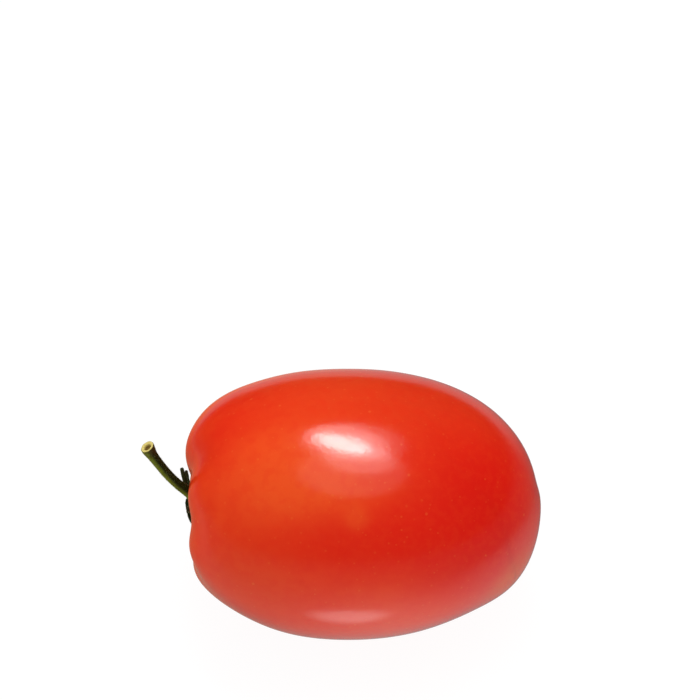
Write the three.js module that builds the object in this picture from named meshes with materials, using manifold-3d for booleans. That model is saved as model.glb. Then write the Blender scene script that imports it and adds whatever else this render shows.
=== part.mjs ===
// A plum tomato lying on its side, as picked: the fruit, the green calyx in its stem
// cavity, and the short piece of stem that is left on it.
//
// Lengths are in millimetres and angles in degrees. +X runs from the stem end to the
// blossom end and +Z is up. The origin is the middle of the small flat spot on which the
// fruit rests. Everything is first grown about the fruit's own long axis, from the middle
// of its widest section, and then laid down as one group.

import * as THREE from "three";
import { mergeVertices } from "three/addons/utils/BufferGeometryUtils.js";
import Module from "manifold-3d";

const wasm = await Module();
wasm.setup();

// Driving sizes of the fruit. Each end is a quarter of a superellipse: reach is its length
// from the widest section, and the two powers say how blunt it is along and across.
const FRUIT_RADIUS = 25.95;
const STEM_END = { reach: 33.13, alongPower: 2.03, acrossPower: 3.15 };
const BLOSSOM_END = { reach: 36.05, alongPower: 2.13, acrossPower: 2.14 };
const CAVITY = { depth: 4.8, spread: 8.5 };
const BLOSSOM_SCAR = { depth: 0.45, spread: 1.3 };
const SHOULDER_RIBS = { count: 7, height: 0.3, turn: 140, ringRadius: 12.5, spread: 6.5, start: -8 };

// Soft swellings and flats that make the fruit uneven. x is along the axis, turn is the
// angle about it from +Z towards +Y, and a minus height is a flat.
const SWELLINGS = [
  { x: -31, turn: 34, spread: 6, height: 0.15 },
  { x: -31, turn: -6, spread: 6, height: -0.5 },
  { x: -31, turn: -58, spread: 5, height: -0.2 },
  { x: -26, turn: 45, spread: 8, height: 0.7 },
  { x: -26, turn: 225, spread: 10, height: -1.2 },
  { x: -12, turn: 45, spread: 9, height: 0.3 },
  { x: 0, turn: 225, spread: 20, height: 0.25 },
  { x: 24, turn: 45, spread: 8, height: 0.15 },
  { x: 32, turn: 225, spread: 7, height: 1.6 },
  { x: 37, turn: 225, spread: 6, height: -0.5 },
];

// How the fruit lies: its blossom end dips this much, and the surface that presses the skin
// flat is this far below the axis. The flat spot's middle is measured from the widest section.
// The ground is a block under that surface, large enough to reach past the fruit.
const DIP = 1.2;
const AXIS_HEIGHT = 25.45;
const FLAT_SPOT = { x: 0.67, y: -0.24 };
const GROUND = { size: 200, depth: 50 };

// Driving sizes of the calyx. A hub point is [radius, height over the cavity's floor].
const HUB_PROFILE = [
  [0, -0.05],
  [1.4, 0],
  [2.2, 0.6],
  [2.5, 1.7],
  [2.2, 2.6],
  [1.2, 3.1],
  [0, 3.2],
];
const SEPAL = {
  halfWidth: 1.3,
  rootHalfWidth: 0.72,
  thickness: 0.64,
  cup: 0.3,
  widestAt: 0.3,
  taperPower: 1.6,
};

// Each sepal bends over its own arch. root, bow and tip are [radius, height over the
// cavity's floor], a root past the axis starts at the collar, twist turns the blade about
// its midrib, and blunt is half the width of its tip.
const SEPALS = [
  { turn: 50, root: [0.8, 2.2], bow: [4.6, 3.7], tip: [7.3, 4.2], twist: -25, blunt: 0.3 },
  { turn: 91, root: [0.8, 2.2], bow: [4.4, 3.2], tip: [9.2, 3.5], twist: 70, blunt: 0.38 },
  { turn: 162, root: [-1.4, 3.15], bow: [2.8, 2.95], tip: [7, 2.6], twist: -10, blunt: 0.22 },
  { turn: 240, root: [0.3, 2.7], bow: [2.1, 3.25], tip: [4.1, 1.6], twist: 6, blunt: 0.22 },
  { turn: 312, root: [0.8, 2.2], bow: [4, 2.6], tip: [7.2, 2.85], twist: -8, blunt: 0.22 },
];

// Driving sizes of the stem. Its route is in the upright plane through the fruit's axis,
// and each point is [x, z]. The stem swells at its base and at the knuckle where it broke.
const STEM_ROUTE = [
  [-29.7, 1.5],
  [-30.15, 2.3],
  [-30.75, 3.27],
  [-32.95, 5.92],
  [-34.66, 8.4],
  [-36.8, 12.4],
  [-38.1, 15.2],
  [-38.6, 16.7],
];
const COLLAR = { length: 1.7, baseRadius: 0.8, topRadius: 1.1 };
const STEM_GAP = 0.45;

// Each point is [share of the stem's length, radius]. The broken end leans over, so that
// it is lower on its outer side, and its soft middle has sunk.
const STEM_RADII = [
  [0, 1.12],
  [0.1, 1.0],
  [0.5, 0.94],
  [0.8, 0.99],
  [0.94, 1.25],
  [1, 1.32],
];
const PITH = { radius: 0.78, floorRadius: 0.62, depth: 0.5, edge: 0.05 };
const BREAK_LEAN = { slope: 0.18, power: 6 };

// How finely the solids are cut into faces.
const FACES = { fruitAround: 63, fruitAlong: 38, hubAround: 20, hubAlong: 12 };
const SEPAL_FACES = { along: 12, across: 4, through: 1 };
const STEM_FACES = { around: 14, along: 14 };

const skin = new THREE.MeshStandardMaterial({ color: 0xd42a10, roughness: 0.22, metalness: 0 });
const calyxGreen = new THREE.MeshStandardMaterial({ color: 0x2f3d16, roughness: 0.7, metalness: 0 });
const stemGreen = new THREE.MeshStandardMaterial({ color: 0x4d5420, roughness: 0.65, metalness: 0 });

const radians = THREE.MathUtils.degToRad;
const bell = (distance, spread) => Math.exp(-((distance / spread) ** 2));

// A geometry with only shared positions, so that each face knows its neighbours.
function welded(geometry) {
  const bare = geometry.clone();
  bare.deleteAttribute("normal");
  bare.deleteAttribute("uv");
  const joined = mergeVertices(bare, 1e-4);
  joined.computeVertexNormals();
  return joined;
}

// Moves each vertex of a geometry to the point that place gives for it and its normal.
function reshaped(geometry, place) {
  const position = geometry.getAttribute("position");
  const normal = geometry.getAttribute("normal");
  const point = new THREE.Vector3();
  const outward = new THREE.Vector3();
  for (let i = 0; i < position.count; i += 1) {
    point.fromBufferAttribute(position, i);
    outward.fromBufferAttribute(normal, i);
    position.setXYZ(i, ...place(point, outward).toArray());
  }
  geometry.computeVertexNormals();
  return geometry;
}

function solidOf(geometry) {
  const joined = welded(geometry);
  const vertProperties = new Float32Array(joined.getAttribute("position").array);
  const triVerts = new Uint32Array(joined.index.array);
  return new wasm.Manifold(new wasm.Mesh({ numProp: 3, vertProperties, triVerts }));
}

function meshOf(solid, name, material) {
  const faces = solid.getMesh();
  const geometry = new THREE.BufferGeometry();
  geometry.setAttribute("position", new THREE.BufferAttribute(faces.vertProperties, 3));
  geometry.setIndex(new THREE.BufferAttribute(faces.triVerts, 1));
  geometry.computeVertexNormals();
  const mesh = new THREE.Mesh(geometry, material);
  mesh.name = name;
  return mesh;
}

// The fruit.

// A point of the plain profile, from the stem end at 0 to the blossom end at PI.
function profilePoint(sweep) {
  const atStemEnd = sweep < Math.PI / 2;
  const end = atStemEnd ? STEM_END : BLOSSOM_END;
  const radius = FRUIT_RADIUS * Math.sin(sweep) ** (2 / end.acrossPower);
  const along = end.reach * Math.abs(Math.cos(sweep)) ** (2 / end.alongPower);
  if (atStemEnd) return new THREE.Vector2(radius, CAVITY.depth * bell(radius, CAVITY.spread) - along);
  return new THREE.Vector2(radius, along - BLOSSOM_SCAR.depth * bell(radius, BLOSSOM_SCAR.spread));
}

// How far the skin stands out from the plain profile at a point.
function relief({ x, y, z }) {
  const radius = Math.hypot(y, z);
  const turn = Math.atan2(y, z);
  const { count, height, ringRadius, spread, start } = SHOULDER_RIBS;
  const onShoulder = x < start ? bell(radius - ringRadius, spread) : 0;
  const rib = height * Math.cos(count * turn - radians(SHOULDER_RIBS.turn)) * onShoulder;
  return SWELLINGS.reduce((sum, swelling) => {
    const aside = turn - radians(swelling.turn);
    const around = radius * Math.atan2(Math.sin(aside), Math.cos(aside));
    return sum + swelling.height * bell(Math.hypot(x - swelling.x, around), swelling.spread);
  }, rib);
}

// The whole fruit about its own axis. Rings crowd towards both ends, where it bends most.
function fruitGeometry() {
  const profile = [];
  for (let i = 0; i <= FACES.fruitAlong; i += 1) {
    const sweep = (Math.PI * (1 - Math.cos((Math.PI * i) / FACES.fruitAlong))) / 2;
    profile.push(profilePoint(sweep));
  }
  profile[0].x = 0;
  profile[FACES.fruitAlong].x = 0;
  const turned = new THREE.LatheGeometry(profile, FACES.fruitAround).rotateZ(-Math.PI / 2);
  return reshaped(welded(turned), (point, outward) => point.addScaledVector(outward, relief(point)));
}

// What lies below the surface, in the frame of the fruit's own axis.
function groundSolid(layDown) {
  const { size, depth } = GROUND;
  const slab = new THREE.BoxGeometry(size, size, depth).translate(0, 0, -depth / 2);
  return solidOf(slab.applyMatrix4(layDown.clone().invert()));
}

// The calyx.

const cavityFloor = CAVITY.depth - STEM_END.reach;

// Half the width of a sepal at a share of its length. It narrows to its root and to its tip.
function sepalHalfWidth(share, blunt) {
  const swell = Math.sin(Math.PI * share ** (Math.log(0.5) / Math.log(SEPAL.widestAt)));
  const rootShare = SEPAL.rootHalfWidth / SEPAL.halfWidth;
  const belly = SEPAL.halfWidth * (rootShare + (1 - rootShare) * swell);
  return THREE.MathUtils.lerp(belly, blunt, share ** SEPAL.taperPower);
}

// The blade starts as a box from 0 to 1 along x and from -1 to 1 across y.
function sepalGeometry({ turn, root, bow, tip, twist, blunt }) {
  const midrib = new THREE.QuadraticBezierCurve(
    new THREE.Vector2(...root),
    new THREE.Vector2(...bow),
    new THREE.Vector2(...tip),
  );
  const { along, across, through } = SEPAL_FACES;
  const blade = new THREE.BoxGeometry(1, 2, 1, along, across, through).translate(0.5, 0, 0);
  const bent = reshaped(welded(blade), ({ x, y, z }) => {
    const halfWidth = sepalHalfWidth(x, blunt);
    const lean = radians(twist * x);
    const aside = y * halfWidth;
    const height = z * SEPAL.thickness + SEPAL.cup * y * y * (halfWidth / SEPAL.halfWidth);
    const over = aside * Math.sin(lean) + height * Math.cos(lean);
    const foot = midrib.getPoint(x);
    const run = midrib.getTangent(x);
    return new THREE.Vector3(
      cavityFloor - foot.y - over * run.x,
      aside * Math.cos(lean) - height * Math.sin(lean),
      foot.x - over * run.y,
    );
  });
  return bent.rotateX(radians(-turn));
}

function hubGeometry() {
  const outline = new THREE.SplineCurve(HUB_PROFILE.map((point) => new THREE.Vector2(...point)));
  const points = outline.getPoints(FACES.hubAlong);
  points[0].x = 0;
  points[FACES.hubAlong].x = 0;
  return new THREE.LatheGeometry(points, FACES.hubAround).rotateZ(Math.PI / 2).translate(cavityFloor, 0, 0);
}

// The stem.

const stemRoute = new THREE.CatmullRomCurve3(STEM_ROUTE.map(([x, z]) => new THREE.Vector3(x, 0, z)));
const routeLength = stemRoute.getLength();

// Carries a shape that was turned about +Y onto the stem's route.
function alongStem(geometry, start) {
  return reshaped(geometry, ({ x, y, z }) => {
    const travel = start + y;
    const share = THREE.MathUtils.clamp(travel / routeLength, 0, 1);
    const forward = stemRoute.getTangentAt(share);
    const outer = new THREE.Vector3(-forward.z, 0, forward.x);
    const centre = stemRoute.getPointAt(share).addScaledVector(forward, travel - share * routeLength);
    return centre.addScaledVector(outer, x).add(new THREE.Vector3(0, z, 0));
  });
}

function collarGeometry() {
  const { length, baseRadius, topRadius } = COLLAR;
  const collar = new THREE.CylinderGeometry(topRadius, baseRadius, length, STEM_FACES.around, 2);
  return alongStem(welded(collar.translate(0, length / 2, 0)), 0);
}

// The stem straight, with the sunk pith in its broken end, and then bent along its route.
function stemGeometry() {
  const start = COLLAR.length + STEM_GAP;
  const length = routeLength - start;
  const corners = STEM_RADII.map(([share, radius]) => new THREE.Vector2(radius, share * length));
  const profile = [
    new THREE.Vector2(0, 0),
    ...new THREE.SplineCurve(corners).getPoints(STEM_FACES.along),
    new THREE.Vector2(PITH.radius, length - PITH.edge),
    new THREE.Vector2(PITH.floorRadius, length - PITH.depth),
    new THREE.Vector2(0, length - PITH.depth),
  ];
  const straight = welded(new THREE.LatheGeometry(profile, STEM_FACES.around));
  const leaning = reshaped(straight, ({ x, y, z }) => {
    const lean = BREAK_LEAN.slope * x * (y / length) ** BREAK_LEAN.power;
    return new THREE.Vector3(x, y - lean, z);
  });
  return alongStem(leaning, start);
}

// The tomato as it lies.

const tomato = new THREE.Group();
tomato.position.set(-FLAT_SPOT.x, -FLAT_SPOT.y, AXIS_HEIGHT);
tomato.rotation.y = radians(DIP);
tomato.updateMatrix();

const fruit = solidOf(fruitGeometry()).subtract(groundSolid(tomato.matrix));
const sepals = SEPALS.map((sepal) => solidOf(sepalGeometry(sepal)));
const calyx = wasm.Manifold.union([solidOf(hubGeometry()), solidOf(collarGeometry()), ...sepals]);
const stem = solidOf(stemGeometry());

tomato.add(meshOf(fruit, "fruit", skin));
tomato.add(meshOf(calyx, "calyx", calyxGreen));
tomato.add(meshOf(stem, "stem", stemGreen));

const part = new THREE.Group();
part.add(tomato);

export default part;
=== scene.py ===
"""A plum tomato lying on its side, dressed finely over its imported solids.

The fruit, the calyx and the stem are grown again here from the same sizes as their solids, with
many more faces, thinner leaf edges, fine relief and hairs, and then given their finishes. Shapes
are worked out in millimetres about the fruit's own long axis and laid down in metres.
"""

import logging
import math
from dataclasses import dataclass, field
from enum import Enum

import bpy
import numpy as np
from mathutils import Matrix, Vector, noise


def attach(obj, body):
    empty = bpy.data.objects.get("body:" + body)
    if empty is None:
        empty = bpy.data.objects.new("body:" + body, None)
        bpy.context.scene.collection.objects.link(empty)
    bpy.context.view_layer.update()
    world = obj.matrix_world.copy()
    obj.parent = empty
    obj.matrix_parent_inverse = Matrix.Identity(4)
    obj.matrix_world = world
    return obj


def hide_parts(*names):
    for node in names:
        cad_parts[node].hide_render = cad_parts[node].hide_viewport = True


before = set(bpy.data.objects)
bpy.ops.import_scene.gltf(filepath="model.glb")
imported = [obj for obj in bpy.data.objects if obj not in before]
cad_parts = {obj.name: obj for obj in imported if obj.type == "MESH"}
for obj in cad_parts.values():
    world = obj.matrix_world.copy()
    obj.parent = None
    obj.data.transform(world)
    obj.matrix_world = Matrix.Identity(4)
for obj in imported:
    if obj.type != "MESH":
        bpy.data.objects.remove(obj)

log = logging.getLogger("tomato")

MM = 0.001
GRAIN = "grain"
CUT = "cut"
BODY = "root"


class Slot(Enum):
    """The record's material slots."""

    SKIN = "skin"
    SEPAL = "sepal"
    STALK = "stalk"


def bell(distance: np.ndarray, spread: float) -> np.ndarray:
    """A soft hump that is 1 at no distance and fades past the spread."""
    return np.exp(-((distance / spread) ** 2))


def wrapped(angle: np.ndarray) -> np.ndarray:
    """The same angle between minus half a turn and half a turn, in radians."""
    return np.arctan2(np.sin(angle), np.cos(angle))


def unit(vectors: np.ndarray) -> np.ndarray:
    """Vectors scaled to a length of 1."""
    return vectors / np.maximum(np.linalg.norm(vectors, axis=-1, keepdims=True), 1e-12)


def unevenness(points: np.ndarray, wavelength: float, seed: float) -> np.ndarray:
    """Smooth uneven heights, the same on each run.

    Args:
        points: Places in millimetres, one in each row.
        wavelength: The rough distance between two humps, in millimetres.
        seed: Shifts the pattern.

    Returns:
        A height from about -1 to 1 for each place.
    """
    shift = Vector((seed, 2.3 * seed, -1.7 * seed))
    flat = points.reshape(-1, 3) / wavelength
    heights = np.array([noise.noise(Vector(place) + shift) for place in flat])
    return heights.reshape(points.shape[:-1])


class Route:
    """A smooth centripetal curve through given points."""

    def __init__(self, points: list[tuple[float, float]], samples: int = 1200) -> None:
        """Samples the curve densely by its length.

        Args:
            points: The points that it passes through, as (x, z) in millimetres.
            samples: How many places are kept along it.
        """
        corners = [np.array(point, float) for point in points]
        before = 2 * corners[0] - corners[1]
        after = 2 * corners[-1] - corners[-2]
        corners = [before, *corners, after]
        spans = len(points) - 1
        steps = np.linspace(0, spans, samples)
        self.places = np.array([self._place(corners, min(int(step), spans - 1), step) for step in steps])
        pieces = np.linalg.norm(np.diff(self.places, axis=0), axis=1)
        self.travels = np.concatenate([[0], np.cumsum(pieces)])
        self.length = float(self.travels[-1])

    @staticmethod
    def _place(corners: list[np.ndarray], span: int, step: float) -> np.ndarray:
        """The curve's place at a step within one of its spans."""
        p0, p1, p2, p3 = corners[span : span + 4]
        d0, d1, d2 = (math.sqrt(np.linalg.norm(b - a)) for a, b in ((p0, p1), (p1, p2), (p2, p3)))
        out = ((p1 - p0) / d0 - (p2 - p0) / (d0 + d1) + (p2 - p1) / d1) * d1
        back = ((p2 - p1) / d1 - (p3 - p1) / (d1 + d2) + (p3 - p2) / d2) * d1
        t = step - span
        cubic = 2 * p1 - 2 * p2 + out + back
        square = -3 * p1 + 3 * p2 - 2 * out - back
        return p1 + out * t + square * t**2 + cubic * t**3

    def at(self, travel: np.ndarray) -> tuple[np.ndarray, np.ndarray]:
        """The places and forward directions at distances along the curve.

        Args:
            travel: Distances from the start. Past an end the curve runs on straight.

        Returns:
            The places and the unit directions, as (x, z).
        """
        inside = np.clip(travel, 0, self.length)
        place = np.stack([np.interp(inside, self.travels, self.places[:, k]) for k in (0, 1)], -1)
        tangents = unit(np.gradient(self.places, self.travels, axis=0))
        forward = unit(np.stack([np.interp(inside, self.travels, tangents[:, k]) for k in (0, 1)], -1))
        return place + forward * (travel - inside)[..., None], forward


def outline_through(points: list[tuple[float, float]], samples: int) -> np.ndarray:
    """A smooth uniform curve through profile points.

    Args:
        points: The points, each (radius, height).
        samples: How many places are taken along it.

    Returns:
        The places, one in each row.
    """
    corners = np.array(points, float)
    last = len(corners) - 1
    rows = []
    for step in np.linspace(0, last, samples):
        span = min(int(step), last - 1)
        t = step - span
        p0, p1 = corners[max(span - 1, 0)], corners[span]
        p2, p3 = corners[span + 1], corners[min(span + 2, last)]
        out, back = (p2 - p0) / 2, (p3 - p1) / 2
        cubic = 2 * p1 - 2 * p2 + out + back
        square = -3 * p1 + 3 * p2 - 2 * out - back
        rows.append(p1 + out * t + square * t**2 + cubic * t**3)
    return np.array(rows)


@dataclass(frozen=True)
class Resting:
    """How the fruit lies on the surface, in millimetres and degrees."""

    dip: float = 1.2
    axis_height: float = 25.45
    middle_x: float = -0.67
    middle_y: float = 0.24

    def lay(self, points: np.ndarray) -> np.ndarray:
        """Carries points from the fruit's own axis to the part's frame, still in millimetres."""
        tilt = math.radians(self.dip)
        x = points[..., 0] * math.cos(tilt) + points[..., 2] * math.sin(tilt)
        z = points[..., 2] * math.cos(tilt) - points[..., 0] * math.sin(tilt)
        return np.stack([x + self.middle_x, points[..., 1] + self.middle_y, z + self.axis_height], -1)


RESTING = Resting()


class Grown:
    """Gathers the faces and the surface notes of one piece before it becomes an object."""

    def __init__(self) -> None:
        """Starts with nothing grown."""
        self.points: list[np.ndarray] = []
        self.faces: list[tuple[int, ...]] = []
        self.grain: list[np.ndarray] = []
        self.cut: list[np.ndarray] = []
        self.count = 0

    def add(
        self,
        points: np.ndarray,
        faces: list[tuple[int, ...]],
        grain: np.ndarray,
        cut: np.ndarray | None = None,
    ) -> None:
        """Adds one closed shell.

        Args:
            points: Its points about the fruit's own axis, in millimetres.
            faces: Its faces, as rows of point numbers.
            grain: For each point, where it lies along and round its own grain.
            cut: For each point, how far it belongs to a broken surface, from 0 to 1.
        """
        self.points.append(points)
        self.faces.extend(tuple(corner + self.count for corner in face) for face in faces)
        self.grain.append(grain)
        self.cut.append(np.zeros(len(points)) if cut is None else cut)
        self.count += len(points)

    def become(self, name: str, lowest: float | None = None) -> bpy.types.Object:
        """Turns what was gathered into an object in the scene.

        Args:
            name: The object's name.
            lowest: A height in millimetres below which nothing reaches, or None.

        Returns:
            The new object, smooth shaded, at rest in the part's frame.
        """
        points = RESTING.lay(np.concatenate(self.points))
        if lowest is not None:
            points[:, 2] = np.maximum(points[:, 2], lowest)
        mesh = bpy.data.meshes.new(name)
        mesh.from_pydata((points * MM).tolist(), [], self.faces)
        grain = mesh.attributes.new(GRAIN, "FLOAT_VECTOR", "POINT")
        grain.data.foreach_set("vector", np.concatenate(self.grain).astype(np.float32).ravel())
        cut = mesh.attributes.new(CUT, "FLOAT", "POINT")
        cut.data.foreach_set("value", np.concatenate(self.cut).astype(np.float32))
        mesh.polygons.foreach_set("use_smooth", [True] * len(mesh.polygons))
        mesh.update()
        obj = bpy.data.objects.new(name, mesh)
        bpy.context.scene.collection.objects.link(obj)
        return obj


def tube_faces(rings: int, around: int, first: int = 0) -> list[tuple[int, ...]]:
    """The faces of a shell of rings that is closed by a point at each end.

    Args:
        rings: How many rings there are between the two end points.
        around: How many points each ring has.
        first: The number of the first end point, which the rings and the last point follow.

    Returns:
        The faces, with their outside out when the rings run left-handed along the shell.
    """
    faces: list[tuple[int, ...]] = []
    start = first + 1
    end = start + rings * around
    for k in range(around):
        ahead = (k + 1) % around
        faces.append((first, start + ahead, start + k))
        last = start + (rings - 1) * around
        faces.append((end, last + k, last + ahead))
        for ring in range(rings - 1):
            low = start + ring * around
            high = low + around
            faces.append((low + k, low + ahead, high + ahead, high + k))
    return faces


# The shapes.


@dataclass(frozen=True)
class FruitEnd:
    """One end of the fruit, a quarter of a superellipse."""

    reach: float
    along_power: float
    across_power: float


@dataclass(frozen=True)
class Swelling:
    """A soft swelling of the fruit, or a flat if its height is below nothing."""

    along: float
    turn: float
    spread: float
    height: float


@dataclass
class Fruit:
    """The fruit with its stem cavity, ribbed shoulders and blossom scar, in millimetres."""

    radius: float = 25.95
    stem_end: FruitEnd = FruitEnd(33.13, 2.03, 3.15)
    blossom_end: FruitEnd = FruitEnd(36.05, 2.13, 2.14)
    cavity_depth: float = 4.8
    cavity_spread: float = 8.5
    scar_depth: float = 0.45
    scar_spread: float = 1.3
    rib_count: int = 7
    rib_height: float = 0.3
    rib_turn: float = 140
    rib_ring: float = 12.5
    rib_spread: float = 6.5
    rib_start: float = -8
    rib_rise: float = 9
    swellings: tuple[Swelling, ...] = (
        Swelling(-31, 34, 6, 0.15),
        Swelling(-31, -6, 6, -0.5),
        Swelling(-31, -58, 5, -0.2),
        Swelling(-26, 45, 8, 0.7),
        Swelling(-26, 225, 10, -1.2),
        Swelling(-12, 45, 9, 0.3),
        Swelling(0, 225, 20, 0.25),
        Swelling(24, 45, 8, 0.15),
        Swelling(32, 225, 7, 1.6),
        Swelling(37, 225, 6, -0.5),
    )
    around: int = 336
    along: int = 222
    end_crowding: float = 0.8
    broad_wave: float = 6.5
    broad_height: float = 0.02
    close_wave: float = 2.4
    close_height: float = 0.005

    @property
    def cavity_floor(self) -> float:
        """Where the floor of the stem cavity lies along the axis."""
        return self.cavity_depth - self.stem_end.reach

    def profile(self, sweep: np.ndarray) -> tuple[np.ndarray, np.ndarray]:
        """The plain profile, from the stem end at 0 to the blossom end at half a turn.

        Args:
            sweep: Angles along the profile, in radians.

        Returns:
            How far along the axis each place lies, and its radius.
        """
        sine, cosine = np.clip(np.sin(sweep), 0, 1), np.abs(np.cos(sweep))
        stem, blossom = self.stem_end, self.blossom_end
        near = self.radius * sine ** (2 / stem.across_power)
        far = self.radius * sine ** (2 / blossom.across_power)
        near_x = self.cavity_depth * bell(near, self.cavity_spread)
        near_x = near_x - stem.reach * cosine ** (2 / stem.along_power)
        far_x = blossom.reach * cosine ** (2 / blossom.along_power)
        far_x = far_x - self.scar_depth * bell(far, self.scar_spread)
        at_stem = sweep < math.pi / 2
        return np.where(at_stem, near_x, far_x), np.where(at_stem, near, far)

    def relief(self, x: np.ndarray, radius: np.ndarray, turn: np.ndarray) -> np.ndarray:
        """How far the skin stands out from the plain profile.

        Args:
            x: Distances along the axis.
            radius: Distances from the axis.
            turn: Angles round the axis, in radians.

        Returns:
            The height at each place.
        """
        rise = np.clip((self.rib_start - x) / self.rib_rise, 0, 1)
        shoulder = bell(radius - self.rib_ring, self.rib_spread) * rise ** 2 * (3 - 2 * rise)
        height = self.rib_height * np.cos(self.rib_count * turn - math.radians(self.rib_turn)) * shoulder
        for swelling in self.swellings:
            aside = radius * wrapped(turn - math.radians(swelling.turn))
            distance = np.hypot(x - swelling.along, aside)
            height = height + swelling.height * bell(distance, swelling.spread)
        return height

    def build(self) -> bpy.types.Object:
        """Grows the fruit.

        Returns:
            The object, flattened where it rests.
        """
        share = np.linspace(0, 1, self.along + 1)
        crowded = (1 - np.cos(math.pi * share)) / 2
        sweep = math.pi * (self.end_crowding * crowded + (1 - self.end_crowding) * share)
        x, radius = self.profile(sweep)
        lean = unit(np.stack([-np.gradient(radius, share), np.gradient(x, share)], -1))
        lean[0], lean[-1] = (-1, 0), (1, 0)
        turn = np.linspace(0, 2 * math.pi, self.around, endpoint=False)
        x, radius, turn = np.broadcast_arrays(x[:, None], radius[:, None], turn[None, :])
        height = self.relief(x, radius, turn)
        plain = np.stack([x, radius * np.sin(turn), radius * np.cos(turn)], -1)
        height = height + self.broad_height * unevenness(plain, self.broad_wave, 3.1)
        height = height + self.close_height * unevenness(plain, self.close_wave, 8.7)
        out_x = x + lean[:, :1] * height
        out_r = radius + lean[:, 1:] * height
        points = np.stack([out_x, out_r * np.sin(turn), out_r * np.cos(turn)], -1)
        grain = np.stack([np.sin(turn), np.cos(turn), x * MM], -1)
        shell = np.concatenate([points[0, :1], points[1:-1].reshape(-1, 3), points[-1, :1]])
        notes = np.concatenate([grain[0, :1], grain[1:-1].reshape(-1, 3), grain[-1, :1]])
        grown = Grown()
        grown.add(shell, tube_faces(self.along - 1, self.around), notes)
        return grown.become("tomato_fruit", lowest=0)

    def dress(self, obj: bpy.types.Object) -> None:
        """Gives the fruit its skin and puts it in the place of its solid."""
        settle(obj, SkinFinish().material(), Slot.SKIN, "fruit")


@dataclass(frozen=True)
class Sepal:
    """One leaf of the calyx. root, bow and tip are (radius, height over the cavity's floor)."""

    turn: float
    root: tuple[float, float]
    bow: tuple[float, float]
    tip: tuple[float, float]
    twist: float
    blunt: float
    thickness: float = 0.60


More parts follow.
